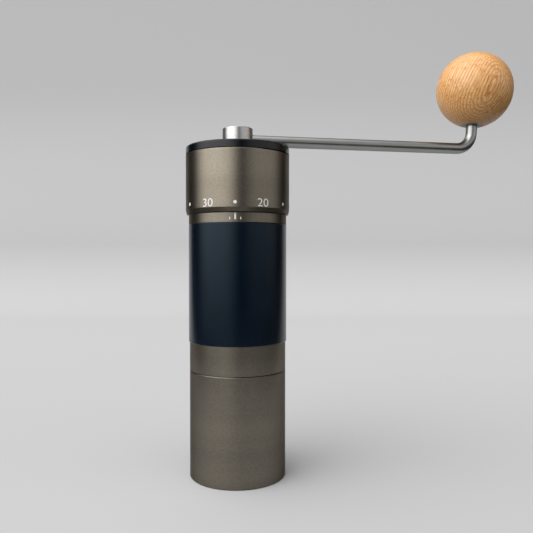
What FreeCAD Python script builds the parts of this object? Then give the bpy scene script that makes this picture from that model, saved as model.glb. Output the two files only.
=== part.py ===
import FreeCAD, Part
import math
import os
import re
import Sketcher

# Hand crank coffee grinder with a captive adjusting dial.
# Origin on the axis at the underside of the grounds cup, +Z up, index line at the front (-Y). Millimetres.

SIZES = {
    # barrel and grounds cup
    "body_diameter": 50.0,
    "cup_height": 55.2,
    "cup_wall": 2.0,
    "cup_floor": 2.5,
    "cup_floor_round": 3.0,
    "cup_neck_height": 6.1,
    "cup_neck_wall": 1.6,
    "cup_lip_height": 4.0,
    "skirt_wall": 1.6,
    "skirt_relief": 0.7,
    "seam_gap": 0.1,
    "seal_width": 1.0,
    "seal_depth": 0.8,
    "edge_break": 0.4,
    "rim_break": 0.15,
    "band_proud": 0.45,
    "lower_band": 14.7,
    "sleeve_length": 60.8,
    "sleeve_recess": 0.8,
    "sleeve_proud": 0.5,
    "index_band": 4.7,
    "hopper_wall": 4.0,
    "burr_seat_wall": 2.0,
    # clearances
    "thread_gap": 0.15,
    "running_gap": 0.08,
    "slide_gap": 0.02,
    "seat_gap": 0.05,
    "travel_gap": 0.4,
    # burrs
    "ring_burr_height": 20.0,
    "ring_burr_inset": 0.6,
    "ring_exit_wall": 2.6,
    "ring_throat_wall": 4.9,
    "ring_mouth_wall": 4.2,
    "ring_tooth_width": 2.4,
    "ring_tooth_depth": 0.9,
    "ring_tooth_count": 30,
    "feed_width": 5.0,
    "feed_depth": 1.3,
    "feed_slant": 5.0,
    "feed_count": 10,
    "tooth_slant": 1.6,
    "band_height": 5.0,
    "zero_gap": 0.06,
    "cone_burr_height": 17.2,
    "cone_crown_diameter": 15.0,
    "flute_width": 6.4,
    "flute_depth": 2.6,
    "flute_slant": 7.0,
    "flute_count": 7,
    "cone_tooth_width": 2.2,
    "cone_tooth_depth": 0.9,
    "cone_tooth_count": 28,
    # setting: clicks from touching burrs, and what one turn of the dial lifts
    "lift_pitch": 1.0,
    "clicks_per_turn": 60,
    "rest_clicks": 85,
    "total_clicks": 180,
    # bridges that carry the bearings
    "arm_count": 3,
    "arm_angle": 30.0,
    "arm_width": 6.0,
    "arm_height": 5.0,
    "arm_reach": 1.5,
    "slot_gap": 0.1,
    "bridge_ring_wall": 2.0,
    "bridge_ring_height": 8.0,
    "bearing_lift": 3.0,
    "housing_wall": 1.8,
    "housing_rim": 0.9,
    "lip_height": 1.6,
    "lip_width": 1.6,
    # ball bearings
    "bearing_diameter": 16.0,
    "bearing_width": 5.0,
    "race_wall": 1.0,
    "ball_diameter": 2.38,
    "ball_count": 8,
    "ball_gap": 0.03,
    "cage_width": 1.3,
    "cage_back": 2.0,
    "cage_front": 0.4,
    # retaining rings
    "clip_thickness": 0.9,
    "clip_bite": 0.5,
    "clip_width": 1.6,
    "clip_opening": 3.0,
    # shaft
    "shaft_diameter": 8.0,
    "shaft_foot_gap": 1.0,
    "spigot_diameter": 7.0,
    "collar_diameter": 9.8,
    "collar_height": 3.0,
    "hex_flats": 6.9,
    "hex_gap": 0.1,
    # screws
    "bolt_diameter": 4.0,
    "bolt_reach": 9.0,
    "bolt_head_diameter": 8.0,
    "bolt_head_height": 3.0,
    "bolt_socket_flats": 3.0,
    "bolt_socket_depth": 1.8,
    "washer_diameter": 14.0,
    "washer_thickness": 1.2,
    "screw_diameter": 3.0,
    "screw_sink": 0.2,
    "screw_bite": 1.4,
    "screw_tip_gap": 0.1,
    "burr_screw_height": 11.0,
    # burr spring
    "spring_wire": 1.0,
    "spring_coil": 10.2,
    "spring_turns": 3,
    # dial
    "dial_gap": 0.3,
    "dial_height": 30.85,
    "dial_overhang": 2.0,
    "rim_taper": 0.5,
    "rim_height": 2.2,
    "collar_step": 2.2,
    "collar_end": 1.0,
    "mouth_depth": 7.85,
    "mouth_wall": 2.0,
    "land_height": 6.5,
    "washer_inset": 0.1,
    "washer_guide": 1.6,
    # click stop
    "click_gap": 0.1,
    "click_thickness": 1.4,
    "click_inset": 0.15,
    "click_tab": 1.6,
    "click_depth": 0.3,
    "detent_diameter": 1.6,
    "detent_count": 3,
    "detent_inset": 1.07,
    "detent_bore_depth": 5.0,
    "detent_wire": 0.3,
    "detent_coil": 1.0,
    "detent_turns": 4,
    # lid
    "lid_gap": 0.25,
    "lid_thickness": 3.8,
    "lid_round": 0.8,
    "plug_gap": 0.75,
    "plug_clearance": 0.5,
    "plug_wall": 1.8,
    "lid_seal_height": 1.8,
    "lid_seal_depth": 0.9,
    "lid_seal_rise": 1.0,
    "bush_wall": 1.3,
    "boss_wall": 2.0,
    "boss_drop": 5.0,
    # crank
    "rod_diameter": 6.0,
    "rod_gap": 1.2,
    "rod_root": 5.0,
    "hub_diameter": 15.8,
    "hub_crown": 6.0,
    "hub_gap": 0.2,
    "hub_round": 0.4,
    "spindle_diameter": 12.0,
    "spindle_drop": 8.7,
    "socket_cover": 0.2,
    "crank_radius": 132.17,
    "crank_angle": 10.45,
    "bend_radius": 9.0,
    # knob
    "knob_diameter": 41.5,
    "knob_lean": 4.4,
    "knob_rise": 13.21,
    "flange_diameter": 11.6,
    "flange_thickness": 1.0,
    "flange_rim": 0.1,
    "knob_bush_wall": 2.0,
    "knob_bush_end": 1.2,
    "knob_depth": 14.5,
    "knob_clip_drop": 3.0,
}

# Radii and heights that follow from the sizes.
FORMULAS = {
    "body_radius": "body_diameter / 2",
    "cup_bore": "body_radius - cup_wall",
    "skirt_bore": "body_radius - skirt_wall",
    "cup_neck": "skirt_bore - thread_gap",
    "cup_mouth": "cup_neck - cup_neck_wall",
    "seal_edge": "cup_neck + seal_width",
    "cup_neck_top": "cup_height + cup_neck_height",
    "body_foot": "cup_height + seam_gap",
    "skirt_top": "cup_neck_top + skirt_relief",
    "burr_seat": "body_radius - burr_seat_wall",
    "hopper": "body_radius - hopper_wall",
    "sleeve_foot": "body_foot + lower_band",
    "sleeve_top": "sleeve_foot + sleeve_length",
    "recess": "body_radius - sleeve_recess",
    "sleeve_radius": "body_radius + sleeve_proud",
    "band_radius": "body_radius + band_proud",
    "shoulder": "sleeve_top + index_band",
    # setting travel
    "lift_up": "lift_pitch * rest_clicks / clicks_per_turn",
    "lift_down": "lift_pitch * (total_clicks - rest_clicks) / clicks_per_turn",
    # burrs
    "ring_foot": "skirt_top + ring_burr_inset",
    "ring_top": "ring_foot + ring_burr_height",
    "exit_radius": "burr_seat - ring_exit_wall",
    "throat_radius": "burr_seat - ring_throat_wall",
    "burr_slope": "(exit_radius - throat_radius) / band_height",
    "burr_gap": "zero_gap + lift_up * burr_slope",
    "band_top": "ring_foot + band_height",
    "cone_top": "ring_foot + cone_burr_height",
    "cone_crown": "cone_crown_diameter / 2",
    # dial and the collar that it turns on
    "dial_radius": "body_radius + dial_overhang",
    "dial_foot": "shoulder + dial_gap",
    "dial_top": "dial_foot + dial_height",
    "collar": "body_radius - collar_step",
    "land_top": "dial_top - mouth_depth",
    "land_foot": "land_top - land_height",
    "arm_tip": "collar + arm_reach",
    "dial_thread": "arm_tip + thread_gap",
    "dial_land": "collar + running_gap",
    "dial_mouth": "dial_radius - mouth_wall",
    "click_foot": "land_top + click_gap",
    "click_top": "click_foot + click_thickness",
    "snap_foot": "click_top + seat_gap",
    "snap_top": "snap_foot + clip_thickness",
    "collar_top": "snap_top + seat_gap + collar_end",
    "detent_radius": "detent_diameter / 2",
    "detent_circle": "dial_land + detent_inset",
    "detent_level": "click_foot - seat_gap - detent_radius",
    "detent_bore": "detent_radius + seat_gap",
    "detent_bore_foot": "land_top - detent_bore_depth",
    # bridges
    "arm_top": "land_foot - lift_up - travel_gap",
    "arm_foot": "arm_top - arm_height",
    "slot_foot": "arm_foot - lift_down - travel_gap",
    "slot_width": "arm_width + 2 * slot_gap",
    "bridge_ring": "hopper - slide_gap",
    "bridge_top": "ring_top + bridge_ring_height",
    "upper_seat": "arm_foot",
    "lower_seat": "ring_top + bearing_lift",
    # bearings
    "bearing_bore": "shaft_diameter / 2 + slide_gap",
    "bearing_outer": "bearing_diameter / 2",
    "bearing_pocket": "bearing_outer + slide_gap",
    "housing": "bearing_pocket + housing_wall",
    "housing_lip": "bearing_outer - lip_width",
    "ball_circle": "(bearing_bore + bearing_outer) / 2",
    "ball_radius": "ball_diameter / 2",
    # shaft
    "shaft_radius": "shaft_diameter / 2",
    "spigot": "spigot_diameter / 2",
    "shaft_foot": "ring_foot + shaft_foot_gap",
    "shaft_clip_foot": "upper_seat + bearing_width + seat_gap",
    # lid
    "lid_foot": "dial_top + lid_gap",
    "lid_top": "lid_foot + lid_thickness",
    "plug_foot": "collar_top + plug_gap",
    "plug_radius": "dial_mouth - plug_clearance",
    "plug_inner": "plug_radius - plug_wall",
    "lid_seal_foot": "plug_foot + lid_seal_rise",
    "lid_seal_top": "lid_seal_foot + lid_seal_height",
    "lid_seal_inner": "plug_radius - lid_seal_depth",
    "spindle": "spindle_diameter / 2",
    "bush_radius": "spindle + bush_wall",
    "boss_radius": "bush_radius + boss_wall",
    "boss_foot": "lid_foot - boss_drop",
    # crank
    "rod_radius": "rod_diameter / 2",
    "rod_level": "lid_top + rod_gap + rod_radius",
    "hub_radius": "hub_diameter / 2",
    "hub_foot": "lid_top + hub_gap",
    "hub_top": "rod_level + hub_crown",
    "spindle_foot": "lid_foot - spindle_drop",
    "socket_top": "lid_top - socket_cover",
    "hub_clip_top": "boss_foot - seat_gap",
    "hub_clip_foot": "hub_clip_top - clip_thickness",
    "hex_top": "socket_top - lift_up - travel_gap",
    "hex_foot": "spindle_foot - lift_up - travel_gap",
    # knob, along its own leaning axis
    "knob_radius": "knob_diameter / 2",
    "knob_flat": "rod_level + knob_rise",
    "flange_radius": "flange_diameter / 2",
    "flat_radius": "flange_radius + flange_rim",
    "knob_level": "knob_flat + sqrt(knob_radius ^ 2 - flat_radius ^ 2)",
    "rod_end": "knob_flat + knob_depth",
    "knob_bore": "rod_radius + running_gap",
    "knob_bush_radius": "knob_bore + knob_bush_wall",
    "knob_bush_top": "rod_end + travel_gap + knob_bush_end",
    "knob_clip_foot": "rod_end - knob_clip_drop",
}

DOC = FreeCAD.newDocument("coffee_grinder")
SHEET = DOC.addObject("Spreadsheet::Sheet", "Sizes")
PARTS = []
UP = FreeCAD.Vector(0, 0, 1)
POINTS_PER_TURN = 24


def fill_sheet():
    for row, (name, size) in enumerate(SIZES.items(), 1):
        SHEET.set(f"A{row}", name)
        SHEET.set(f"B{row}", str(size))
        SHEET.setAlias(f"B{row}", name)
    DOC.recompute()


def ex(text):
    """A formula in the names of SIZES and FORMULAS, written as an expression on the sheet."""

    def spelled(found):
        word = found.group()
        if word in SIZES:
            return "Sizes." + word
        if word in FORMULAS:
            return "(" + ex(FORMULAS[word]) + ")"
        return word

    return re.sub(r"[a-z][a-z_]+", spelled, text)


def size(text):
    """What a formula comes to, in millimetres."""
    return float(SHEET.evalExpression(ex(text)))


# Building blocks

def new_body(label):
    body = DOC.addObject("PartDesign::Body", label)
    PARTS.append(body)
    return body


def origin(body, role):
    return next(feature for feature in body.Origin.OriginFeatures if feature.Role == role)


def place(feature, body, plane, at):
    """Attach a feature to one of its body's own planes, offset by three formulas."""
    feature.AttachmentSupport = [(origin(body, plane), "")]
    feature.MapMode = "FlatFace"
    for axis, formula in zip("xyz", at):
        feature.setExpression(f"AttachmentOffset.Base.{axis}", ex(formula))


def new_sketch(body, plane, level="0"):
    sketch = body.newObject("Sketcher::SketchObject", body.Name + "_sketch")
    place(sketch, body, plane, ("0", "0", level))
    return sketch


def tie(sketch, point, formulas):
    """Hold one point of a sketch, given as (line, end), at a place given by two formulas."""
    for kind, axis, formula in zip(("DistanceX", "DistanceY"), (-2, -1), formulas):
        if formula == "0":
            sketch.addConstraint(Sketcher.Constraint("PointOnObject", *point, axis))
        else:
            held = sketch.addConstraint(Sketcher.Constraint(kind, -1, 1, *point, size(formula)))
            sketch.setExpression(f"Constraints[{held}]", ex(formula))


def tie_radius(sketch, curve, formula):
    held = sketch.addConstraint(Sketcher.Constraint("Radius", curve, size(formula)))
    sketch.setExpression(f"Constraints[{held}]", ex(formula))


def draw(sketch, corners):
    """A closed outline of straight lines through corners given as pairs of formulas."""
    spots = [FreeCAD.Vector(size(across), size(up), 0) for across, up in corners]
    count = len(spots)
    for line in range(count):
        sketch.addGeometry(Part.LineSegment(spots[line], spots[(line + 1) % count]))
    for line in range(count):
        sketch.addConstraint(Sketcher.Constraint("Coincident", line, 2, (line + 1) % count, 1))
    for line, corner in enumerate(corners):
        tie(sketch, (line, 1), corner)


def box_corners(left, right, foot, top):
    return [(left, foot), (right, foot), (right, top), (left, top)]


def revolve(body, sketch, kind):
    feature = body.newObject(kind, body.Name + "_turn")
    feature.Profile = sketch
    feature.ReferenceAxis = (sketch, ["V_Axis"])
    feature.Angle = 360


def spin(body, corners, kind="PartDesign::Revolution"):
    """Turn an outline of (radius, height) corners about the body's Z axis."""
    sketch = new_sketch(body, "XZ_Plane")
    draw(sketch, corners)
    revolve(body, sketch, kind)


def turn_away(body, corners):
    spin(body, corners, "PartDesign::Groove")


def draw_circle(sketch, centre, radius):
    spot = FreeCAD.Vector(size(centre[0]), size(centre[1]), 0)
    sketch.addGeometry(Part.Circle(spot, UP, size(radius)))
    tie(sketch, (0, 3), centre)
    tie_radius(sketch, 0, radius)


def turn_away_round(body, centre, radius):
    """Cut a groove of round section about the body's Z axis."""
    sketch = new_sketch(body, "XZ_Plane")
    draw_circle(sketch, centre, radius)
    revolve(body, sketch, "PartDesign::Groove")


def turned(label, corners):
    body = new_body(label)
    spin(body, corners)
    return body


def primitive(body, kind, plane, at, **formulas):
    """A PartDesign primitive such as AdditiveSphere, placed and sized by formulas."""
    feature = body.newObject("PartDesign::" + kind, body.Name + "_" + kind)
    place(feature, body, plane, at)
    for name, formula in formulas.items():
        feature.setExpression(name, ex(formula))
    return feature


def hexagon(body, kind, flats, foot, top):
    feature = primitive(body, kind, "XY_Plane", ("0", "0", foot),
                        Circumradius=f"({flats}) / sqrt(3)", Height=f"({top}) - ({foot})")
    feature.Polygon = 6
    return feature


def repeat(body, feature, count):
    """Copy a feature evenly round the body's Z axis."""
    pattern = body.newObject("PartDesign::PolarPattern", body.Name + "_ring")
    pattern.Originals = [feature]
    pattern.Axis = (origin(body, "Z_Axis"), [""])
    pattern.Angle = 360
    pattern.setExpression("Occurrences", ex(count))
    body.Tip = pattern
    return pattern


def extrude(body, kind, corners, level, length):
    """Pad or Pocket an outline upward from a level plane."""
    sketch = new_sketch(body, "XY_Plane", level)
    draw(sketch, corners)
    feature = body.newObject("PartDesign::" + kind, body.Name + "_" + kind)
    feature.Profile = sketch
    feature.setExpression("Length", ex(length))
    feature.Reversed = kind == "Pocket"
    return feature


def soften(body, kind, spots, measure):
    """Fillet or Chamfer the round edges at the given (radius, height) spots."""
    DOC.recompute()
    base = body.Tip
    names = []
    for radius, height in spots:
        for number, edge in enumerate(base.Shape.Edges, 1):
            if not isinstance(edge.Curve, Part.Circle):
                continue
            aside = abs(edge.Curve.Radius - size(radius)) + abs(edge.Curve.Center.z - size(height))
            if aside < 1e-4:
                names.append(f"Edge{number}")
    feature = body.newObject("PartDesign::" + kind, body.Name + "_" + kind)
    feature.Base = (base, names)
    feature.setExpression("Radius" if kind == "Fillet" else "Size", ex(measure))


def turn_to(body, angle):
    """Turn a finished body about the grinder's axis."""
    body.Placement = FreeCAD.Placement(FreeCAD.Vector(), FreeCAD.Rotation(UP, size(angle)))
    body.setExpression("Placement.Rotation.Angle", ex(f"{angle} * 1 deg"))


def move_to_knob(body):
    """Lean a body that is built about the knob's axis, and stand it at the end of the crank."""
    reach = "(crank_radius - rod_level * sin(knob_lean * 1 deg))"
    spot = (f"{reach} * cos(crank_angle * 1 deg)", f"{reach} * sin(crank_angle * 1 deg)",
            "rod_level * (1 - cos(knob_lean * 1 deg))")
    base = "; ".join(ex(formula) for formula in spot)
    turn = ex("crank_angle") + "; " + ex("knob_lean") + "; 0"
    body.setExpression("Placement", f"placement(vector({base}); rotation({turn}))")


# Grounds cup

def make_cup():
    cup = turned("grounds_cup", [
        ("0", "0"), ("body_radius", "0"), ("body_radius", "cup_height"),
        ("seal_edge", "cup_height"), ("seal_edge", "cup_height - seal_depth"),
        ("cup_neck", "cup_height - seal_depth"), ("cup_neck", "cup_neck_top"),
        ("cup_mouth", "cup_neck_top"),
        ("cup_mouth", "cup_height - cup_lip_height + cup_bore - cup_mouth"),
        ("cup_bore", "cup_height - cup_lip_height"), ("cup_bore", "cup_floor"), ("0", "cup_floor"),
    ])
    soften(cup, "Fillet", [("cup_bore", "cup_floor")], "cup_floor_round")
    soften(cup, "Chamfer", [("body_radius", "0")], "edge_break")
    soften(cup, "Fillet", [("body_radius", "cup_height")], "edge_break")
    turned("cup_seal", box_corners("cup_neck + slide_gap", "seal_edge - slide_gap",
                                   "cup_height - seal_depth", "body_foot - seat_gap"))


# Barrel

def make_body_tube():
    tube = turned("body_tube", [
        ("skirt_bore", "body_foot"), ("body_radius", "body_foot"), ("body_radius", "sleeve_foot"),
        ("recess", "sleeve_foot"), ("recess", "sleeve_top"), ("band_radius", "sleeve_top"),
        ("band_radius", "shoulder"), ("collar", "shoulder"), ("collar", "collar_top"),
        ("hopper", "collar_top"), ("hopper", "ring_top"), ("burr_seat", "ring_top"),
        ("burr_seat", "skirt_top"), ("skirt_bore", "skirt_top"),
    ])
    soften(tube, "Chamfer", [("body_radius", "body_foot"), ("band_radius", "shoulder")], "rim_break")
    turn_away(tube, box_corners("collar - clip_bite - seat_gap", "collar + clip_bite",
                                "click_top", "snap_top + seat_gap"))
    slot = extrude(tube, "Pocket",
                   box_corners("housing", "dial_radius", "-slot_width / 2", "slot_width / 2"),
                   "slot_foot", "collar_top - slot_foot + collar_end")
    repeat(tube, slot, "arm_count")
    for level in ("ring_foot + burr_screw_height", "ring_top + bridge_ring_height / 2"):
        hole = primitive(tube, "SubtractiveCylinder", "YZ_Plane", ("0", level, "housing"),
                         Radius="screw_diameter / 2 + slide_gap", Height="body_radius - housing")
        repeat(tube, hole, "arm_count")
    turn_to(tube, "arm_angle")


def make_grip_sleeve():
    sleeve = turned("grip_sleeve", box_corners("recess", "sleeve_radius", "sleeve_foot", "sleeve_top"))
    rims = [("sleeve_radius", "sleeve_foot"), ("sleeve_radius", "sleeve_top")]
    soften(sleeve, "Fillet", rims, "edge_break")


def make_set_screws(label, level, inner):
    """Three headless screws that hold a piece in the tube, out of sight under the sleeve."""
    screws = new_body(label)
    screw = primitive(screws, "AdditiveCylinder", "YZ_Plane", ("0", level, f"{inner} - screw_bite"),
                      Radius="screw_diameter / 2", Height=f"recess - screw_sink - ({inner}) + screw_bite")
    repeat(screws, screw, "arm_count")
    turn_to(screws, "arm_angle")


def bore_for_screws(body, level, inner):
    hole = primitive(body, "SubtractiveCylinder", "YZ_Plane",
                     ("0", level, f"{inner} - screw_bite - screw_tip_gap"),
                     Radius="screw_diameter / 2 + slide_gap",
                     Height="screw_bite + screw_tip_gap + slide_gap")
    repeat(body, hole, "arm_count")
    turn_to(body, "arm_angle")


# Burrs

def cut_teeth(body, surface, level, width, depth, count, run):
    """Cut slanting grooves of triangular section along a run given as (outward, sideways, upward).

    A negative depth cuts outward, into the inside of a ring.
    """
    base = f"{surface} + {depth}"
    sketch = new_sketch(body, "XY_Plane", level)
    draw(sketch, [(f"{surface} - {depth}", "0"), (base, f"-{width}"), (base, width)])
    feature = body.newObject("PartDesign::Pocket", body.Name + "_tooth")
    feature.Profile = sketch
    feature.UseCustomVector = True
    feature.AlongSketchNormal = False
    for axis, formula in zip("xyz", run):
        feature.setExpression(f"Direction.{axis}", ex(formula))
    feature.setExpression("Length", "sqrt(" + " + ".join(f"({ex(formula)})^2" for formula in run) + ")")
    repeat(body, feature, count)


def make_ring_burr():
    ring = turned("ring_burr", [
        ("exit_radius", "ring_foot"), ("burr_seat - slide_gap", "ring_foot"),
        ("burr_seat - slide_gap", "ring_top"), ("burr_seat - ring_mouth_wall", "ring_top"),
        ("throat_radius", "band_top"),
    ])
    cut_teeth(ring, "exit_radius", "ring_foot", "ring_tooth_width", "-ring_tooth_depth", "ring_tooth_count",
              ("throat_radius - exit_radius", "tooth_slant", "band_height"))
    cut_teeth(ring, "burr_seat - ring_mouth_wall", "ring_top", "feed_width", "-feed_depth", "feed_count",
              ("ring_mouth_wall - ring_throat_wall", "-feed_slant", "band_top - ring_top"))
    bore_for_screws(ring, "ring_foot + burr_screw_height", "burr_seat")
    make_set_screws("burr_screws", "ring_foot + burr_screw_height", "burr_seat")


def make_cone_burr():
    cone = turned("cone_burr", [
        ("spigot + slide_gap", "ring_foot"), ("exit_radius - burr_gap", "ring_foot"),
        ("throat_radius - burr_gap", "band_top"), ("cone_crown", "cone_top"),
        ("spigot + slide_gap", "cone_top"),
    ])
    cut_teeth(cone, "cone_crown", "cone_top", "flute_width", "flute_depth", "flute_count",
              ("throat_radius - burr_gap - cone_crown", "flute_slant", "band_top - cone_top"))
    cut_teeth(cone, "exit_radius - burr_gap", "ring_foot", "cone_tooth_width", "cone_tooth_depth",
              "cone_tooth_count", ("throat_radius - exit_radius", "-tooth_slant", "band_height"))
    turned("burr_washer", box_corners("bolt_diameter / 2 + slide_gap", "washer_diameter / 2",
                                      "ring_foot - washer_thickness", "ring_foot"))
    bolt = turned("burr_bolt", [
        ("0", "ring_foot - washer_thickness - bolt_head_height"),
        ("bolt_head_diameter / 2", "ring_foot - washer_thickness - bolt_head_height"),
        ("bolt_head_diameter / 2", "ring_foot - washer_thickness"),
        ("bolt_diameter / 2", "ring_foot - washer_thickness"),
        ("bolt_diameter / 2", "ring_foot + bolt_reach"), ("0", "ring_foot + bolt_reach"),
    ])
    hexagon(bolt, "SubtractivePrism", "bolt_socket_flats",
            "ring_foot - washer_thickness - bolt_head_height",
            "ring_foot - washer_thickness - bolt_head_height + bolt_socket_depth")


# Bearings and what carries them

def make_ball_bearing(name, seat):
    middle = f"{seat} + bearing_width / 2"
    top = f"{seat} + bearing_width"
    outer = turned(name + "_outer_race",
                   box_corners("bearing_outer - race_wall", "bearing_outer", seat, top))
    turn_away_round(outer, ("ball_circle", middle), "ball_radius + ball_gap")
    inner = turned(name + "_inner_race",
                   box_corners("bearing_bore", "bearing_bore + race_wall", seat, top))
    turn_away_round(inner, ("ball_circle", middle), "ball_radius + ball_gap")
    balls = new_body(name + "_balls")
    ball = primitive(balls, "AdditiveSphere", "XY_Plane", ("ball_circle", "0", middle),
                     Radius="ball_radius")
    repeat(balls, ball, "ball_count")
    cage = turned(name + "_cage",
                  box_corners("ball_circle - cage_width / 2", "ball_circle + cage_width / 2",
                              f"{middle} - cage_front", f"{middle} + cage_back"))
    pocket = primitive(cage, "SubtractiveSphere", "XY_Plane", ("ball_circle", "0", middle),
                       Radius="ball_radius + 2 * ball_gap")
    repeat(cage, pocket, "ball_count")


def make_clip(label, inner, outer, foot):
    """A retaining ring, with the gap that lets it spring open."""
    clip = turned(label, box_corners(inner, outer, foot, f"{foot} + clip_thickness"))
    extrude(clip, "Pocket",
            box_corners("0", f"{outer} + clip_bite", "-clip_opening / 2", "clip_opening / 2"),
            foot, "clip_thickness")
    return clip


def bearing_housing(seat):
    """Outline of the pocket for a bearing, with a lip under it."""
    top = f"{seat} + bearing_width + seat_gap + clip_thickness + housing_rim"
    foot = f"{seat} - lip_height"
    return [
        ("housing_lip", foot), ("housing", foot), ("housing", top), ("bearing_pocket", top),
        ("bearing_pocket", seat), ("housing_lip", seat),
    ]


def cut_clip_groove(body, seat):
    turn_away(body, box_corners("bearing_pocket - clip_bite", "bearing_pocket + clip_bite",
                                f"{seat} + bearing_width",
                                f"{seat} + bearing_width + 2 * seat_gap + clip_thickness"))


def make_bearing_clip(label, seat):
    make_clip(label, "bearing_pocket + clip_bite - seat_gap - clip_width",
              "bearing_pocket + clip_bite - seat_gap", f"{seat} + bearing_width + seat_gap")


def add_arms(body, reach, level):
    arm = extrude(body, "Pad",
                  box_corners("housing - housing_wall / 2", reach, "-arm_width / 2", "arm_width / 2"),
                  level, "arm_height")
    repeat(body, arm, "arm_count")


def make_lower_bridge():
    bridge = turned("lower_bridge", bearing_housing("lower_seat"))
    add_arms(bridge, "bridge_ring - bridge_ring_wall / 2", "bridge_top - arm_height")
    spin(bridge, box_corners("bridge_ring - bridge_ring_wall", "bridge_ring", "ring_top", "bridge_top"))
    cut_clip_groove(bridge, "lower_seat")
    bore_for_screws(bridge, "ring_top + bridge_ring_height / 2", "hopper")
    make_set_screws("bridge_screws", "ring_top + bridge_ring_height / 2", "hopper")
    make_ball_bearing("lower_bearing", "lower_seat")
    make_bearing_clip("lower_bearing_clip", "lower_seat")


def make_upper_bridge():
    bridge = turned("upper_bridge", bearing_housing("upper_seat"))
    add_arms(bridge, "dial_radius", "arm_foot")
    turn_away(bridge, box_corners("arm_tip", "dial_radius + arm_width", "arm_foot - arm_height",
                                  "arm_top + arm_height"))
    cut_clip_groove(bridge, "upper_seat")
    turn_to(bridge, "arm_angle")
    make_ball_bearing("upper_bearing", "upper_seat")
    make_bearing_clip("upper_bearing_clip", "upper_seat")


# Shaft

def make_shaft():
    shaft = turned("drive_shaft", [
        ("0", "shaft_foot"), ("spigot", "shaft_foot"), ("spigot", "cone_top"),
        ("shaft_radius", "cone_top"), ("shaft_radius", "upper_seat - seat_gap - collar_height"),
        ("collar_diameter / 2", "upper_seat - seat_gap - collar_height"),
        ("collar_diameter / 2", "upper_seat - seat_gap"), ("shaft_radius", "upper_seat - seat_gap"),
        ("shaft_radius", "hex_foot"), ("0", "hex_foot"),
    ])
    hexagon(shaft, "AdditivePrism", "hex_flats", "hex_foot", "hex_top")
    turn_away(shaft, box_corners("shaft_radius - clip_bite", "shaft_radius + clip_bite",
                                 "shaft_clip_foot - seat_gap",
                                 "shaft_clip_foot + clip_thickness + seat_gap"))
    primitive(shaft, "SubtractiveCylinder", "XY_Plane", ("0", "0", "shaft_foot"),
              Radius="bolt_diameter / 2 + slide_gap", Height="bolt_reach - shaft_foot_gap + travel_gap")
    turn_to(shaft, "crank_angle")
    make_clip("shaft_clip", "shaft_radius - clip_bite + seat_gap",
              "shaft_radius - clip_bite + seat_gap + clip_width", "shaft_clip_foot")


# Springs

def helix_point(radius, rise, angle, centre):
    return centre + FreeCAD.Vector(radius * math.cos(angle), radius * math.sin(angle), rise * angle)


def helix_way(radius, rise, angle):
    return FreeCAD.Vector(-radius * math.sin(angle), radius * math.cos(angle), rise).normalize()


def biarc(start, start_way, end, end_way):
    """Two arcs that leave start along start_way and reach end along end_way."""
    chord = end - start
    ways = start_way + end_way
    slope = 2 * (1 - start_way.dot(end_way))
    reach = (math.sqrt(chord.dot(ways) ** 2 + slope * chord.dot(chord)) - chord.dot(ways)) / slope
    first = start + start_way * reach
    last = end - end_way * reach
    joint = (first + last) * 0.5
    return [arc_between(start, first, joint), arc_between(joint, last, end)]


def arc_between(start, corner, end):
    """The arc that touches start to corner at one end and corner to end at the other."""
    half = (start + end) * 0.5
    edge = (corner - start).Length
    height = (corner - half).Length
    bow = height * (end - half).Length / (edge + (end - half).Length)
    return Part.Arc(start, half + (corner - half) * (bow / height), end).toShape()


def print_least_gap(path, wire, turns):
    """Measure on points how near one turn of a spring comes to the next."""
    spots = path.discretize(POINTS_PER_TURN * turns + 1)
    half_turn = POINTS_PER_TURN // 2
    reaches = [(spots[near] - spots[far]).Length
               for near in range(len(spots)) for far in range(near + half_turn, len(spots))]
    print(f"spring: least gap between turns {min(reaches) - wire:.2f} mm")


def coil(centre, foot, top, radius, wire, turns):
    """A compression spring as one unbroken tube between two levels."""
    rise = (top - foot - wire) / (2 * math.pi * turns)
    base = centre + UP * (foot + wire / 2)
    angles = [quarter * math.pi / 2 for quarter in range(4 * turns + 1)]
    points = [helix_point(radius, rise, angle, base) for angle in angles]
    ways = [helix_way(radius, rise, angle) for angle in angles]
    arcs = []
    for here in range(4 * turns):
        arcs += biarc(points[here], ways[here], points[here + 1], ways[here + 1])
    path = Part.Wire(arcs)
    section = Part.Wire(Part.Circle(points[0], ways[0], wire / 2).toShape())
    shell = Part.BRepOffsetAPI.MakePipeShell(path)
    shell.add(section)
    shell.build()
    shell.makeSolid()
    print_least_gap(path, wire, turns)
    return shell.shape()


def new_feature(label, shape):
    feature = DOC.addObject("Part::Feature", label)
    feature.Shape = shape
    PARTS.append(feature)
    return feature


def make_springs():
    new_feature("burr_spring", coil(
        FreeCAD.Vector(), size("cone_top + seat_gap"), size("lower_seat - seat_gap"),
        size("spring_coil / 2"), size("spring_wire"), int(size("spring_turns"))))
    springs = []
    for place_number in range(int(size("detent_count"))):
        angle = math.radians(size("arm_angle")) + 2 * math.pi * place_number / size("detent_count")
        centre = FreeCAD.Vector(math.cos(angle), math.sin(angle), 0) * size("detent_circle")
        springs.append(coil(
            centre, size("detent_bore_foot + seat_gap"), size("detent_level - detent_radius - seat_gap"),
            size("detent_coil / 2"), size("detent_wire"), int(size("detent_turns"))))
    new_feature("detent_springs", Part.makeCompound(springs))


# Dial and click stop

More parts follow.
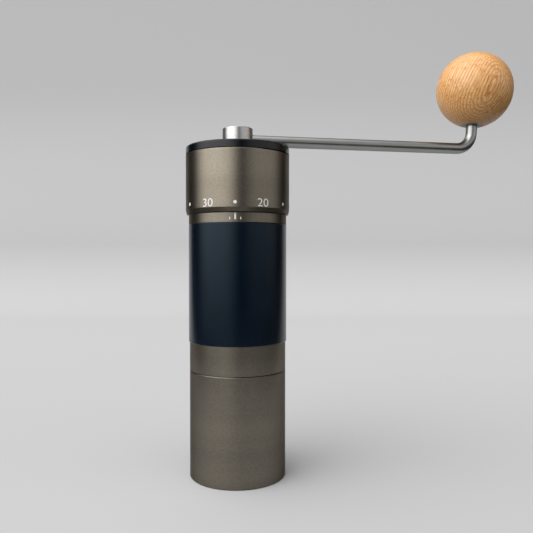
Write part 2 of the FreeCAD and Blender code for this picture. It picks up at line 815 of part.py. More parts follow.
def make_dial():
    dial = turned("adjust_dial", [
        ("dial_thread", "dial_foot"), ("dial_radius - rim_taper", "dial_foot"),
        ("dial_radius", "dial_foot + rim_height"), ("dial_radius", "dial_top"),
        ("dial_mouth", "dial_top"), ("dial_mouth", "land_top"), ("dial_land", "land_top"),
        ("dial_land", "land_foot"), ("dial_thread", "land_foot"),
    ])
    soften(dial, "Fillet", [("dial_radius", "dial_top")], "edge_break")
    bore = primitive(dial, "SubtractiveCylinder", "XY_Plane", ("detent_circle", "0", "detent_bore_foot"),
                     Radius="detent_bore", Height="detent_bore_depth + seat_gap")
    repeat(dial, bore, "detent_count")
    turn_to(dial, "arm_angle")
    turned("dial_washer", [
        ("collar + slide_gap", "shoulder"), ("band_radius - rim_break - washer_inset", "shoulder"),
        ("band_radius - rim_break - washer_inset", "dial_foot - seat_gap"),
        ("dial_thread - running_gap", "dial_foot - seat_gap"),
        ("dial_thread - running_gap", "dial_foot + washer_guide"),
        ("collar + slide_gap", "dial_foot + washer_guide"),
    ])


def make_click_stop():
    ring = turned("click_ring", box_corners("collar + slide_gap", "dial_mouth - click_inset",
                                            "click_foot", "click_top"))
    tab = extrude(ring, "Pad",
                  box_corners("collar - click_tab", "collar + click_tab / 2",
                              "-arm_width / 2 + slot_gap", "arm_width / 2 - slot_gap"),
                  "click_foot", "click_thickness")
    repeat(ring, tab, "arm_count")
    dimple = primitive(ring, "SubtractiveSphere", "XY_Plane",
                       ("detent_circle", "0", "click_foot - detent_radius + click_depth"),
                       Radius="detent_radius + seat_gap")
    repeat(ring, dimple, "clicks_per_turn")
    turn_to(ring, "arm_angle")
    make_clip("dial_snap_ring", "collar - clip_bite", "collar - clip_bite + clip_width", "snap_foot")
    balls = new_body("detent_balls")
    ball = primitive(balls, "AdditiveSphere", "XY_Plane", ("detent_circle", "0", "detent_level"),
                     Radius="detent_radius")
    repeat(balls, ball, "detent_count")
    turn_to(balls, "arm_angle")


# Lid

def make_lid():
    lid = turned("lid", [
        ("bush_radius", "boss_foot"), ("boss_radius", "boss_foot"), ("boss_radius", "lid_foot"),
        ("plug_inner", "lid_foot"), ("plug_inner", "plug_foot"), ("plug_radius", "plug_foot"),
        ("plug_radius", "lid_seal_foot"), ("lid_seal_inner", "lid_seal_foot"),
        ("lid_seal_inner", "lid_seal_top"), ("plug_radius", "lid_seal_top"), ("plug_radius", "lid_foot"),
        ("dial_radius", "lid_foot"), ("dial_radius", "lid_top"), ("bush_radius", "lid_top"),
    ])
    soften(lid, "Fillet", [("dial_radius", "lid_top")], "lid_round")
    turned("lid_seal", box_corners("lid_seal_inner", "dial_mouth - running_gap",
                                   "lid_seal_foot + slide_gap", "lid_seal_top - slide_gap"))
    turned("lid_bush", box_corners("spindle + running_gap", "bush_radius", "boss_foot", "lid_top"))


# Crank

def make_crank_hub():
    hub = turned("crank_hub", [
        ("0", "spindle_foot"), ("spindle", "spindle_foot"), ("spindle", "hub_foot"),
        ("hub_radius", "hub_foot"), ("hub_radius", "hub_top"), ("0", "hub_top"),
    ])
    soften(hub, "Fillet", [("hub_radius", "hub_top")], "hub_round")
    hexagon(hub, "SubtractivePrism", "hex_flats + 2 * hex_gap", "spindle_foot", "socket_top")
    turn_away(hub, box_corners("spindle - clip_bite", "spindle + clip_bite", "hub_clip_foot - seat_gap",
                               "hub_clip_top + seat_gap"))
    primitive(hub, "SubtractiveCylinder", "YZ_Plane", ("0", "rod_level", "-rod_root"),
              Radius="rod_radius + slide_gap", Height="rod_root + hub_radius")
    turn_to(hub, "crank_angle")
    make_clip("hub_clip", "spindle - clip_bite + slide_gap", "spindle - clip_bite + slide_gap + clip_width",
              "hub_clip_foot")


def along_arm(distance):
    """A point of the crank's level arm, so far in from the bend, beside the leaning axis of the knob."""
    return (f"-({distance}) * cos(knob_lean * 1 deg)", f"rod_level - ({distance}) * sin(knob_lean * 1 deg)")


def make_crank_rod():
    rod = new_body("crank_rod")
    path = new_sketch(rod, "XZ_Plane")
    tangent = "bend_radius * tan((90 - knob_lean) / 2 * 1 deg)"
    corners = [
        along_arm("crank_radius + rod_root - slide_gap"), along_arm(tangent),
        ("0", f"rod_level + {tangent}"), ("0", "rod_end"),
    ]
    root, bend_start, bend_end, tip = [FreeCAD.Vector(size(across), size(up), 0) for across, up in corners]
    pivot = bend_end - FreeCAD.Vector(size("bend_radius"), 0, 0)
    bend = Part.Circle(pivot, UP, size("bend_radius"))
    lean = math.radians(size("knob_lean"))
    path.addGeometry(Part.LineSegment(root, bend_start))
    path.addGeometry(Part.ArcOfCircle(bend, lean - math.pi / 2, 0))
    path.addGeometry(Part.LineSegment(bend_end, tip))
    path.addConstraint(Sketcher.Constraint("Coincident", 0, 2, 1, 1))
    path.addConstraint(Sketcher.Constraint("Coincident", 1, 2, 2, 1))
    for point, corner in zip(((0, 1), (0, 2), (2, 1), (2, 2)), corners):
        tie(path, point, corner)
    tie_radius(path, 1, "bend_radius")
    section = new_sketch(rod, "XY_Plane", "rod_end")
    draw_circle(section, ("0", "0"), "rod_radius")
    pipe = rod.newObject("PartDesign::AdditivePipe", "crank_rod_pipe")
    pipe.Profile = section
    pipe.Spine = (path, [])
    turn_away(rod, box_corners("rod_radius - clip_bite", "rod_radius + clip_bite",
                               "knob_clip_foot - seat_gap",
                               "knob_clip_foot + clip_thickness + seat_gap"))
    move_to_knob(rod)


# Knob

def make_knob():
    knob = new_body("wood_knob")
    primitive(knob, "AdditiveSphere", "XY_Plane", ("0", "0", "knob_level"), Radius="knob_radius")
    turn_away(knob, [
        ("0", "rod_level"), ("knob_diameter", "rod_level"), ("knob_diameter", "knob_flat"),
        ("flange_radius + slide_gap", "knob_flat"),
        ("flange_radius + slide_gap", "knob_flat + flange_thickness"),
        ("knob_bush_radius + slide_gap", "knob_flat + flange_thickness"),
        ("knob_bush_radius + slide_gap", "knob_bush_top + slide_gap"), ("0", "knob_bush_top + slide_gap"),
    ])
    bush = turned("knob_bush", [
        ("knob_bore", "knob_flat"), ("flange_radius", "knob_flat"),
        ("flange_radius", "knob_flat + flange_thickness"),
        ("knob_bush_radius", "knob_flat + flange_thickness"), ("knob_bush_radius", "knob_bush_top"),
        ("0", "knob_bush_top"), ("0", "rod_end + travel_gap"), ("knob_bore", "rod_end + travel_gap"),
    ])
    ring_outer = "rod_radius - clip_bite + slide_gap + clip_width"
    turn_away(bush, box_corners("knob_bore - clip_bite", f"{ring_outer} + running_gap",
                                "knob_clip_foot - 2 * seat_gap",
                                "knob_clip_foot + clip_thickness + 2 * seat_gap"))
    ring = make_clip("knob_snap_ring", "rod_radius - clip_bite + slide_gap", ring_outer, "knob_clip_foot")
    for body in (knob, bush, ring):
        move_to_knob(body)


def write_parts():
    DOC.recompute()
    for item in DOC.Objects:
        if "Invalid" in item.State or "Error" in item.State:
            raise RuntimeError(f"{item.Label} did not compute: {item.State}")
    os.makedirs("parts", exist_ok=True)
    for part in PARTS:
        if part.Shape.isNull() or not part.Shape.isValid() or not part.Shape.Solids:
            raise RuntimeError(f"{part.Label} is not a valid solid")
        part.Shape.exportStep(f"parts/{part.Label}.step")


fill_sheet()
make_cup()
make_body_tube()
make_grip_sleeve()
make_ring_burr()
make_cone_burr()
make_lower_bridge()
make_upper_bridge()
make_shaft()
make_springs()
make_dial()
make_click_stop()
make_lid()
make_crank_hub()
make_crank_rod()
make_knob()
write_parts()
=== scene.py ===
import math

import bmesh
import bpy
from mathutils import Matrix, Vector


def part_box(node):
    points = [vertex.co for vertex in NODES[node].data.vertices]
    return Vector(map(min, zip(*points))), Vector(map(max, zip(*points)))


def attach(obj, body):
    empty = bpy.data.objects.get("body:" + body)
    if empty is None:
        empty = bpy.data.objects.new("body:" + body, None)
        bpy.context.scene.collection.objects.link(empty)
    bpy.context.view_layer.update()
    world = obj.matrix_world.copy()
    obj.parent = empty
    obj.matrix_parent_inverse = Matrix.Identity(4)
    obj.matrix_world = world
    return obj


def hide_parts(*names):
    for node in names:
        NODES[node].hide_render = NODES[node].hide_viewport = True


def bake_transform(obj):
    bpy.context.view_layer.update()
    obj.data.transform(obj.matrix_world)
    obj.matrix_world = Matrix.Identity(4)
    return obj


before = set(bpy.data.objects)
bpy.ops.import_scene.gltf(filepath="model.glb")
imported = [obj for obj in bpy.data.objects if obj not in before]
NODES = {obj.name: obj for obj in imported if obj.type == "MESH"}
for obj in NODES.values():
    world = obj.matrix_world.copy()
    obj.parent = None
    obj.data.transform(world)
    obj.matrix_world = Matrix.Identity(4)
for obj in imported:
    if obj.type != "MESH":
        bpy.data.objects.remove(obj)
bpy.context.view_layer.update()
MM = 0.001

# Camera, as fitted to the photograph
CAMERA_PLACE = (0.01512, -0.3135, 0.1127)
CAMERA_PITCH = math.radians(89.30)
CAMERA_LENS = 40.27
CAMERA_SENSOR = 36.0

# Marks on the dial and on the barrel
NUMBERS = ("0", "10", "20", "30", "40", "50")
MARK_STEP = math.radians(30)
FRONT_MARK = 5
DIGIT_HEIGHT = 4.0 * MM
DIGIT_STRETCH = 1.12
DOT_RADIUS = 0.85 * MM
DOT_SIDES = 40
MARK_LEVEL = 140.3 * MM
PAINT = 0.03 * MM
INDEX_WIDTH = 0.8 * MM
INDEX_FOOT = 132.0 * MM
INDEX_TOP = 135.2 * MM
TICK_WIDTH = 0.4 * MM
TICK_TOP = 133.2 * MM
TICK_STEP = math.radians(6)
STRIP = 0.4 * MM

# Thread on the neck of the cup: half widths at root and crest, and how far it goes in and out of the neck
THREAD_STARTS = 2
THREAD_LEAD = 3.0 * MM
THREAD_FOOT = 56.0 * MM
THREAD_TOP = 60.7 * MM
THREAD_STEPS = 240
THREAD_RUN_OUT = 0.08
ROOT_HALF = 0.55 * MM
CREST_HALF = 0.15 * MM
ROOT_DEPTH = 0.1 * MM
CREST_HEIGHT = 0.5 * MM

# Wood: its middle, the way its rings face and its fibres run, their sizes and their colours
KNOB_CENTRE = (0.13247, 0.02443, 0.20794)
RING_WAY = Vector((0.14, -0.98, -0.13)).normalized()
FIBRE_WAY = Vector((0.38, 0.10, 0.92)).normalized()
PITH_DISTANCE = 23 * MM
RING_WIDTH = 1.5 * MM
RING_WANDER = 2.6 * MM
LINE_WIDTH = 0.44 * MM
LINE_SHADE = (0.90, 0.86, 0.81)
PALE_WOOD = (252, 208, 146)
MID_WOOD = (238, 184, 119)
LATE_WOOD = (217, 156, 93)
PORE = (182, 126, 78)
STREAK = (232, 212, 190)
WHITE = (1.0, 1.0, 1.0)

# Studio: the sweep with its colours by height, with shade painted darker at the low bend, and the soft lights
# by their way, spread and strength
FRONT_SPREAD = 0.5
BACK_SPREAD = 0.8
SWEEP_MIDDLE_WIDTH = 0.6
SWEEP_FRONT = -0.34
SWEEP_WALL = 1.4
SWEEP_BEND = 0.6
SWEEP_TOP = 1.1
BEND_STEPS = 24
SWEEP_BOUNCE = 0.25
FLOOR = (190, 190, 191)
# Painted shade: the low bend of the sweep is coloured darker than both the floor and the wall
BEND = (168, 168, 169)
WALL = (196, 196, 197)
LOW_BEND = 0.25
FRONT_LIGHT = 0.03
HORIZON_FADE = 0.18
WINDOW = (Vector((-0.72, -0.66, 0.25)).normalized(), 0.54, 0.98, 2.5)
BOUNCE = (Vector((0.86, -0.46, 0.22)).normalized(), 0.6, 0.98, 0.8)
CEILING = (Vector((-0.36, -0.14, 0.92)).normalized(), 0.5, 0.96, 1.9)

# The share of a metal's shades that is grain, its colour at a glancing look, and the gloss of rubber and wood
GRAIN_SHARE = 0.7
EDGE_TINT = (0.45, 0.45, 0.45, 1.0)
RUBBER_SHEEN = (0.66, 0.86, 1.0, 1.0)
RUBBER_GLOSS = 0.32
WOOD_GLOSS = 0.6

# Grain and slower cloud of each finish, in waves to a metre
METAL_GRAIN = 1300.0
METAL_CLOUD = 90.0
STEEL_GRAIN = 4200.0
STEEL_CLOUD = 120.0
RUBBER_GRAIN = 3400.0
RUBBER_CLOUD = 60.0
PLASTIC_GRAIN = 2600.0
PLASTIC_CLOUD = 45.0
PAINT_CLOUD = 1500.0
RING_DRIFT = 70.0
PORE_GRAIN = 2300.0
STREAK_GRAIN = 1300.0

# How many of those waves are left along the fibres, for the drift of the rings and for pores and streaks
DRIFT_SQUEEZE = 0.35
FIBRE_SQUEEZE = 0.045


def srgb(red, green, blue):
    """A colour written in 0 to 255, as the linear numbers that shaders take."""
    shares = (value / 255 for value in (red, green, blue))
    return tuple(s / 12.92 if s <= 0.04045 else ((s + 0.055) / 1.055) ** 2.4 for s in shares)


class Shading:
    """A tree of shader nodes, with short ways to add nodes to it and join them."""

    def __init__(self, tree):
        self.tree = tree

    def add(self, kind, inputs, **settings):
        """A node with its inputs set or joined; gives back its first output."""
        node = self.tree.nodes.new(kind)
        for name, value in settings.items():
            setattr(node, name, value)
        for name, value in inputs.items():
            if isinstance(value, bpy.types.NodeSocket):
                self.tree.links.new(value, node.inputs[name])
            else:
                node.inputs[name].default_value = value
        return node.outputs[0]

    def math(self, operation, first, second=0.0):
        return self.add("ShaderNodeMath", {0: first, 1: second}, operation=operation)

    def dot(self, vector, way):
        node = self.tree.nodes.new("ShaderNodeVectorMath")
        node.operation = "DOT_PRODUCT"
        self.tree.links.new(vector, node.inputs[0])
        node.inputs[1].default_value = way
        return node.outputs["Value"]

    def length(self, vector):
        node = self.tree.nodes.new("ShaderNodeVectorMath")
        node.operation = "LENGTH"
        self.tree.links.new(vector, node.inputs[0])
        return node.outputs["Value"]

    def vector(self, across, along, up):
        return self.add("ShaderNodeCombineXYZ", {"X": across, "Y": along, "Z": up})

    def coordinate(self, kind):
        return self.tree.nodes.new("ShaderNodeTexCoord").outputs[kind]

    def split(self, vector):
        node = self.tree.nodes.new("ShaderNodeSeparateXYZ")
        self.tree.links.new(vector, node.inputs[0])
        return node.outputs

    def noise(self, vector, scale, detail=2.0, roughness=0.5):
        return self.add("ShaderNodeTexNoise",
                        {"Vector": vector, "Scale": scale, "Detail": detail, "Roughness": roughness})

    def ramp(self, factor, *stops):
        """Colours or greys laid out along a factor, as (place, colour) stops."""
        output = self.add("ShaderNodeValToRGB", {"Fac": factor})
        elements = output.node.color_ramp.elements
        while len(elements) < len(stops):
            elements.new(0.5)
        for element, (place, colour) in zip(elements, stops):
            element.position = place
            element.color = (*colour, 1.0)
        return output

    def tone(self, factor, colour, dark, light, ends=(0.3, 0.7)):
        """A colour that goes from a darker to a lighter share of itself along a factor."""
        shades = [tuple(share * value for value in colour) for share in (dark, light)]
        return self.ramp(factor, *zip(ends, shades))

    def fade(self, value, low, high):
        """A smooth step from 0 to 1 as a value goes from low to high."""
        inputs = {"Value": value, "From Min": low, "From Max": high}
        return self.add("ShaderNodeMapRange", inputs, interpolation_type="SMOOTHSTEP")

    def dimmed(self, colour, share):
        """A colour as it is to the camera and in reflections, and a share of it where it lights others."""
        path = self.tree.nodes.new("ShaderNodeLightPath").outputs
        seen = self.math("ADD", path["Is Camera Ray"], path["Is Glossy Ray"])
        seen = self.math("ADD", seen, path["Is Transmission Ray"])
        level = self.math("MINIMUM", self.math("ADD", seen, share), 1.0)
        return self.add("ShaderNodeVectorMath", {0: colour, 1: self.vector(level, level, level)},
                        operation="MULTIPLY")

    def spread(self, factor, low, high):
        """A factor from 0 to 1, spread between two numbers."""
        return self.add("ShaderNodeMapRange", {"Value": factor, "To Min": low, "To Max": high})


class Look(Shading):
    """A material whose one shader takes its colour, roughness and bump from nodes."""

    def __init__(self, name, colour, roughness, metallic=0.0):
        self.material = bpy.data.materials.new(name)
        self.material.use_nodes = True
        super().__init__(self.material.node_tree)
        self.shader = self.tree.nodes["Principled BSDF"]
        self.shader.inputs["Base Color"].default_value = (*colour, 1.0)
        self.shader.inputs["Roughness"].default_value = roughness
        self.shader.inputs["Metallic"].default_value = metallic

    def spot(self):
        """Where a point lies on the piece, in metres."""
        return self.coordinate("Object")

    def lathe(self):
        """Distance from the axis and height: what changes along it makes turning lines."""
        x, y, z = self.split(self.spot())
        return self.vector(self.length(self.vector(x, y, 0.0)), 0.0, z)

    def join(self, name, value):
        self.tree.links.new(value, self.shader.inputs[name])

    def bump(self, height, depth, strength=1.0, under=None):
        inputs = {"Height": height, "Distance": depth, "Strength": strength}
        if under is not None:
            inputs["Normal"] = under
        return self.add("ShaderNodeBump", inputs)

    def wear(self, *nodes):
        """Put this material on CAD nodes."""
        for name in nodes:
            slots = NODES[name].data.materials
            slots.clear()
            slots.append(self.material)


# Materials

def turned_metal(name, colour, roughness, line_scale, line_depth, grain_depth):
    """Metal with the fine lines of a lathe and a fine grain."""
    look = Look(name, colour, roughness, metallic=1.0)
    lines = look.noise(look.lathe(), line_scale, detail=4.0, roughness=0.75)
    grain = look.noise(look.spot(), METAL_GRAIN, detail=4.0, roughness=0.75)
    cloud = look.noise(look.lathe(), METAL_CLOUD, detail=3.0)
    speck = look.math("ADD", look.math("MULTIPLY", grain, GRAIN_SHARE),
                      look.math("MULTIPLY", cloud, 1 - GRAIN_SHARE))
    look.join("Base Color", look.tone(speck, colour, 0.84, 1.16, ends=(0.38, 0.62)))
    look.join("Roughness", look.spread(lines, roughness - 0.05, roughness + 0.05))
    look.join("Normal", look.bump(lines, line_depth, under=look.bump(grain, grain_depth)))
    look.shader.inputs["Specular Tint"].default_value = EDGE_TINT
    return look


def dull_rubber(name, colour):
    look = Look(name, colour, 0.24)
    grain = look.noise(look.spot(), RUBBER_GRAIN, detail=3.0, roughness=0.6)
    cloud = look.noise(look.spot(), RUBBER_CLOUD, detail=3.0)
    look.join("Base Color", look.tone(cloud, colour, 0.8, 1.25))
    look.join("Roughness", look.spread(cloud, 0.20, 0.28))
    look.join("Normal", look.bump(grain, 0.012 * MM))
    look.shader.inputs["Specular IOR Level"].default_value = RUBBER_GLOSS
    look.shader.inputs["Specular Tint"].default_value = RUBBER_SHEEN
    return look


def moulded_plastic(name, colour, roughness, grain_depth, gloss=0.5):
    look = Look(name, colour, roughness)
    look.shader.inputs["Specular IOR Level"].default_value = gloss
    grain = look.noise(look.spot(), PLASTIC_GRAIN)
    cloud = look.noise(look.spot(), PLASTIC_CLOUD)
    look.join("Base Color", look.tone(cloud, colour, 0.88, 1.12))
    look.join("Roughness", look.spread(grain, roughness - 0.06, roughness + 0.06))
    look.join("Normal", look.bump(grain, grain_depth))
    return look


def bright_steel(name, colour, roughness):
    """Drawn, ground or rolled steel: fine specks and a slight cloud in the gloss."""
    look = Look(name, colour, roughness, metallic=1.0)
    grain = look.noise(look.spot(), STEEL_GRAIN)
    cloud = look.noise(look.spot(), STEEL_CLOUD, detail=3.0)
    look.join("Base Color", look.tone(cloud, colour, 0.94, 1.0))
    look.join("Roughness", look.spread(cloud, roughness - 0.04, roughness + 0.05))
    look.join("Normal", look.bump(grain, 0.0008 * MM))
    look.shader.inputs["Specular Tint"].default_value = EDGE_TINT
    return look


def oiled_wood(name):
    """Growth rings about a pith in front of the knob, finer lines, and pores and streaks along the fibres."""
    pale, mid, late = srgb(*PALE_WOOD), srgb(*MID_WOOD), srgb(*LATE_WOOD)
    look = Look(name, mid, 0.4)
    offset = look.add("ShaderNodeVectorMath", {0: look.spot(), 1: KNOB_CENTRE}, operation="SUBTRACT")
    cross_way = RING_WAY.cross(FIBRE_WAY).normalized()
    depth = look.dot(offset, RING_WAY)
    along = look.dot(offset, FIBRE_WAY)
    across = look.dot(offset, cross_way)
    from_pith = look.length(look.vector(look.math("SUBTRACT", depth, PITH_DISTANCE), across, 0.0))
    drift = look.noise(look.vector(depth, across, look.math("MULTIPLY", along, DRIFT_SQUEEZE)), RING_DRIFT)
    grown = look.math("ADD", from_pith, look.math("MULTIPLY", drift, RING_WANDER))
    season = look.math("FRACT", look.math("DIVIDE", grown, RING_WIDTH))
    line = look.math("FRACT", look.math("DIVIDE", grown, LINE_WIDTH))
    wood = look.ramp(season, (0.0, late), (0.2, mid), (0.6, pale), (0.85, mid), (1.0, late))
    lined = look.ramp(line, (0.0, LINE_SHADE), (0.45, WHITE), (1.0, LINE_SHADE))
    fibres = look.vector(depth, across, look.math("MULTIPLY", along, FIBRE_SQUEEZE))
    pores = look.ramp(look.noise(fibres, PORE_GRAIN, roughness=0.6), (0.32, srgb(*PORE)), (0.44, WHITE))
    streaks = look.ramp(look.noise(fibres, STREAK_GRAIN, roughness=0.6), (0.36, srgb(*STREAK)), (0.60, WHITE))
    for layer in (lined, streaks, pores):
        wood = look.add("ShaderNodeVectorMath", {0: wood, 1: layer}, operation="MULTIPLY")
    look.join("Base Color", wood)
    look.join("Roughness", look.spread(season, 0.36, 0.46))
    look.join("Normal", look.bump(pores, 0.02 * MM, strength=0.6))
    look.shader.inputs["Specular IOR Level"].default_value = WOOD_GLOSS
    return look


def white_paint(name):
    look = Look(name, srgb(236, 235, 230), 0.55)
    cloud = look.noise(look.spot(), PAINT_CLOUD)
    look.join("Base Color", look.ramp(cloud, (0.3, srgb(226, 225, 219)), (0.7, srgb(243, 242, 238))))
    look.join("Roughness", look.spread(cloud, 0.5, 0.62))
    return look


def dress_nodes():
    anodised = dict(line_scale=2600.0, line_depth=0.003 * MM, grain_depth=0.004 * MM)
    # The dial, barrel and cup share one anodised finish; its colour is painted darker from the dial down to
    # the cup, as shade on the lower parts
    turned_metal("dial_metal", srgb(124, 117, 105), 0.29, **anodised).wear("adjust_dial")
    turned_metal("barrel_metal", srgb(119, 113, 102), 0.30, **anodised).wear("body_tube")
    turned_metal("cup_metal", srgb(112, 106, 96), 0.31, **anodised).wear("grounds_cup")
    dull_rubber("grip_rubber", srgb(2, 11, 24)).wear("grip_sleeve")
    dull_rubber("seal_rubber", srgb(38, 38, 38)).wear("cup_seal", "lid_seal")
    moulded_plastic("lid_plastic", srgb(3, 7, 11), 0.20, 0.004 * MM, gloss=0.34).wear("lid")
    moulded_plastic("washer_plastic", srgb(58, 58, 58), 0.5, 0.003 * MM).wear("dial_washer")
    moulded_plastic("cage_plastic", srgb(206, 196, 172), 0.5, 0.003 * MM).wear(
        "lower_bearing_cage", "upper_bearing_cage")
    moulded_plastic("knob_collar", srgb(128, 130, 131), 0.45, 0.003 * MM).wear("knob_bush")
    steel_lines = dict(line_scale=2600.0, line_depth=0.0008 * MM, grain_depth=0.0006 * MM)
    turned_metal("hub_steel", srgb(188, 188, 186), 0.32, **steel_lines).wear("crank_hub")
    turned_metal("shaft_steel", srgb(200, 200, 198), 0.26, **steel_lines).wear("drive_shaft")
    turned_metal("bridge_metal", srgb(196, 196, 193), 0.38, **steel_lines).wear(
        "lower_bridge", "upper_bridge")
    turned_metal("bush_brass", srgb(214, 178, 104), 0.28, **steel_lines).wear("lid_bush")
    bright_steel("rod_steel", srgb(156, 156, 154), 0.30).wear("crank_rod")
    bright_steel("burr_steel", srgb(186, 185, 181), 0.3).wear("ring_burr", "cone_burr")
    bright_steel("bearing_steel", srgb(216, 216, 216), 0.14).wear(
        "lower_bearing_outer_race", "lower_bearing_inner_race", "lower_bearing_balls",
        "upper_bearing_outer_race", "upper_bearing_inner_race", "upper_bearing_balls", "detent_balls")
    bright_steel("clip_steel", srgb(120, 119, 117), 0.34).wear(
        "lower_bearing_clip", "upper_bearing_clip", "shaft_clip", "dial_snap_ring",
        "hub_clip", "knob_snap_ring")
    bright_steel("screw_steel", srgb(74, 74, 76), 0.38).wear(
        "burr_screws", "bridge_screws", "burr_bolt", "burr_washer")
    bright_steel("spring_steel", srgb(178, 178, 178), 0.24).wear("burr_spring", "detent_springs")
    bright_steel("click_brass", srgb(210, 176, 104), 0.3).wear("click_ring")
    oiled_wood("knob_wood").wear("wood_knob")


# Marks

def wrap(mesh, radius, turn, level):
    """Bend a flat mesh round the axis, with its X at an angle from the front and its Y as the height."""
    form = bmesh.new()
    form.from_mesh(mesh)
    low = min(vertex.co.x for vertex in form.verts)
    high = max(vertex.co.x for vertex in form.verts)
    cut = low + STRIP
    while cut < high:
        parts = form.verts[:] + form.edges[:] + form.faces[:]
        bmesh.ops.bisect_plane(form, geom=parts, plane_co=(cut, 0, 0), plane_no=(1, 0, 0))
        cut += STRIP
    for vertex in form.verts:
        angle = turn + vertex.co.x / radius
        reach = radius + PAINT
        vertex.co = Vector((reach * math.sin(angle), -reach * math.cos(angle), level + vertex.co.y))
    form.to_mesh(mesh)
    form.free()


def flat_number(digits):
    """A number as a flat mesh, centred, as high as the dial's digits."""
    curve = bpy.data.curves.new("digits", "FONT")
    curve.body = digits
    holder = bpy.data.objects.new("digits", curve)
    bpy.context.scene.collection.objects.link(holder)
    bpy.context.view_layer.update()
    mesh = bpy.data.meshes.new_from_object(holder.evaluated_get(bpy.context.evaluated_depsgraph_get()))
    bpy.data.objects.remove(holder)
    spots = [vertex.co for vertex in mesh.vertices]
    low = Vector((min(s.x for s in spots), min(s.y for s in spots), 0))
    high = Vector((max(s.x for s in spots), max(s.y for s in spots), 0))
    middle = (low + high) / 2
    share = DIGIT_HEIGHT / (high.y - low.y)
    mesh.transform(Matrix.Diagonal((share * DIGIT_STRETCH, share, 1, 1)) @ Matrix.Translation(-middle))
    return mesh


def flat_disc(radius):
    mesh = bpy.data.meshes.new("disc")
    form = bmesh.new()
    bmesh.ops.create_circle(form, cap_ends=True, segments=DOT_SIDES, radius=radius)
    form.to_mesh(mesh)
    form.free()
    return mesh


def flat_bar(width, foot, top):
    mesh = bpy.data.meshes.new("bar")
    corners = [(-width / 2, foot, 0), (width / 2, foot, 0), (width / 2, top, 0), (-width / 2, top, 0)]
    mesh.from_pydata(corners, [], [(0, 1, 2, 3)])
    return mesh


def mark(name, mesh, body, radius, turn, level, paint):
    wrap(mesh, radius, turn, level)
    mesh.materials.clear()
    mesh.materials.append(paint)
    piece = bpy.data.objects.new(name, mesh)
    bpy.context.scene.collection.objects.link(piece)
    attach(piece, body)


def add_marks():
    paint = white_paint("mark_white").material
    dial_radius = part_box("adjust_dial")[1].x
    band_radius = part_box("body_tube")[1].x
    for place in range(2 * len(NUMBERS)):
        turn = (FRONT_MARK - place) * MARK_STEP
        if place % 2:
            mesh, name = flat_disc(DOT_RADIUS), f"dial_dot_{place}"
        else:
            mesh, name = flat_number(NUMBERS[place // 2]), f"dial_number_{place}"
        mark(name, mesh, "dial", dial_radius, turn, MARK_LEVEL, paint)
    index = flat_bar(INDEX_WIDTH, INDEX_FOOT, INDEX_TOP)
    mark("index_line", index, "body", band_radius, 0.0, 0.0, paint)
    for side in (-1, 1):
        tick = flat_bar(TICK_WIDTH, INDEX_FOOT, TICK_TOP)
        mark(f"index_tick_{side + 1}", tick, "body", band_radius, side * TICK_STEP, 0.0, paint)


# Thread

def neck_radius():
    spots = [vertex.co for vertex in NODES["grounds_cup"].data.vertices]
    return max(spot.xy.length for spot in spots if spot.z > THREAD_FOOT)


def thread_ridge(form, radius, first_turn):
    """One ridge that winds up the neck and runs out at both ends, in a bmesh."""
    rings = []
    for step in range(THREAD_STEPS + 1):
        share = step / THREAD_STEPS
        level = THREAD_FOOT + (THREAD_TOP - THREAD_FOOT) * share
        turn = first_turn + 2 * math.pi * (level - THREAD_FOOT) / THREAD_LEAD
        crest = radius + CREST_HEIGHT * min(1.0, share / THREAD_RUN_OUT, (1 - share) / THREAD_RUN_OUT)
        root = radius - ROOT_DEPTH
        section = ((root, -ROOT_HALF), (crest, -CREST_HALF), (crest, CREST_HALF), (root, ROOT_HALF))
        rings.append([form.verts.new((reach * math.cos(turn), reach * math.sin(turn), level + rise))
                      for reach, rise in section])
    for low, high in zip(rings, rings[1:]):
        for corner in range(4):
            after = (corner + 1) % 4
            form.faces.new((low[corner], high[corner], high[after], low[after]))
    form.faces.new(rings[0])
    form.faces.new(rings[-1])


def add_thread():
    """The cup's thread, which lies in the wall of the barrel's skirt while the cup is on."""
    form = bmesh.new()
    for start in range(THREAD_STARTS):
        thread_ridge(form, neck_radius(), 2 * math.pi * start / THREAD_STARTS)
    bmesh.ops.recalc_face_normals(form, faces=form.faces)
    mesh = bpy.data.meshes.new("cup_thread")
    form.to_mesh(mesh)
    form.free()
    mesh.materials.append(bpy.data.materials["cup_metal"])
    thread = bpy.data.objects.new("cup_thread", mesh)
    bpy.context.scene.collection.objects.link(thread)
    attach(thread, "cup")


# Spring

def add_spring():
    """The burr's spring, between the bearing and the burr, as a piece of its own copied from the CAD node,
    which is hidden.
    """
    spring = bpy.data.objects.new("spring_coil", NODES["burr_spring"].data.copy())
    bpy.context.scene.collection.objects.link(spring)
    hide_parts("burr_spring")
    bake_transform(spring)


# Stage

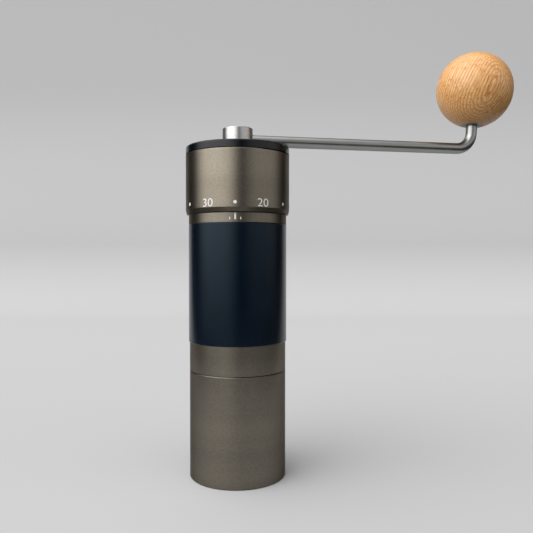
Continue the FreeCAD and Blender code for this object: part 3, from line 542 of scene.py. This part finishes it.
def add_sweep():
    """A pale floor that bends up into a wall behind the object, with shade painted darker along the low bend.
    """
    line = [(SWEEP_FRONT, 0.0), (0.0, 0.0)]
    for step in range(BEND_STEPS + 1):
        angle = math.pi / 2 * step / BEND_STEPS
        line.append((SWEEP_WALL - SWEEP_BEND * (1 - math.sin(angle)), SWEEP_BEND * (1 - math.cos(angle))))
    line.append((SWEEP_WALL, SWEEP_TOP))
    spots = []
    for back, up in line:
        reach = SWEEP_MIDDLE_WIDTH / 2 + (BACK_SPREAD if back > 0 else FRONT_SPREAD) * back
        spots += [(-reach, back, up), (reach, back, up)]
    faces = [(2 * row, 2 * row + 1, 2 * row + 3, 2 * row + 2) for row in range(len(line) - 1)]
    mesh = bpy.data.meshes.new("sweep")
    mesh.from_pydata(spots, [], faces)
    mesh.shade_smooth()
    look = Look("sweep", srgb(*FLOOR), 0.7)
    height = look.split(look.spot())["Z"]
    rise = look.add("ShaderNodeMapRange", {"Value": height, "From Max": SWEEP_BEND})
    # By height the colour dips from the floor into the darker bend, which is painted shade, and rises again
    # to the wall
    shown = look.ramp(rise, (0.0, srgb(*FLOOR)), (LOW_BEND, srgb(*BEND)), (1.0, srgb(*WALL)))
    look.join("Base Color", look.dimmed(shown, SWEEP_BOUNCE))
    mesh.materials.append(look.material)
    sweep = bpy.data.objects.new("sweep", mesh)
    bpy.context.scene.collection.objects.link(sweep)


def add_world():
    """A dim room with a wide window at the left, a paler wall at the right and a light ceiling."""
    world = bpy.data.worlds.new("studio")
    world.use_nodes = True
    bpy.context.scene.world = world
    sky = Shading(world.node_tree)
    way = sky.coordinate("Generated")
    light = 0.0
    for middle, rim, core, strength in (WINDOW, BOUNCE, CEILING):
        lobe = sky.fade(sky.dot(way, middle), rim, core)
        light = sky.math("ADD", sky.math("MULTIPLY", lobe, strength), light)
    above = sky.fade(sky.split(way)["Z"], -HORIZON_FADE, HORIZON_FADE)
    light = sky.math("ADD", sky.math("MULTIPLY", light, above), FRONT_LIGHT)
    background = sky.tree.nodes["Background"]
    background.inputs["Color"].default_value = (1.0, 1.0, 1.0, 1.0)
    sky.tree.links.new(light, background.inputs["Strength"])


def add_camera():
    camera = bpy.data.cameras.new("camera")
    camera.lens = CAMERA_LENS
    camera.sensor_width = CAMERA_SENSOR
    camera.sensor_fit = "HORIZONTAL"
    camera.clip_start = 0.01
    holder = bpy.data.objects.new("camera", camera)
    holder.location = CAMERA_PLACE
    holder.rotation_euler = (CAMERA_PITCH, 0, 0)
    bpy.context.scene.collection.objects.link(holder)
    bpy.context.scene.camera = holder


bpy.context.scene.view_settings.view_transform = "Standard"
add_camera()
dress_nodes()
add_marks()
add_thread()
add_spring()
add_sweep()
add_world()
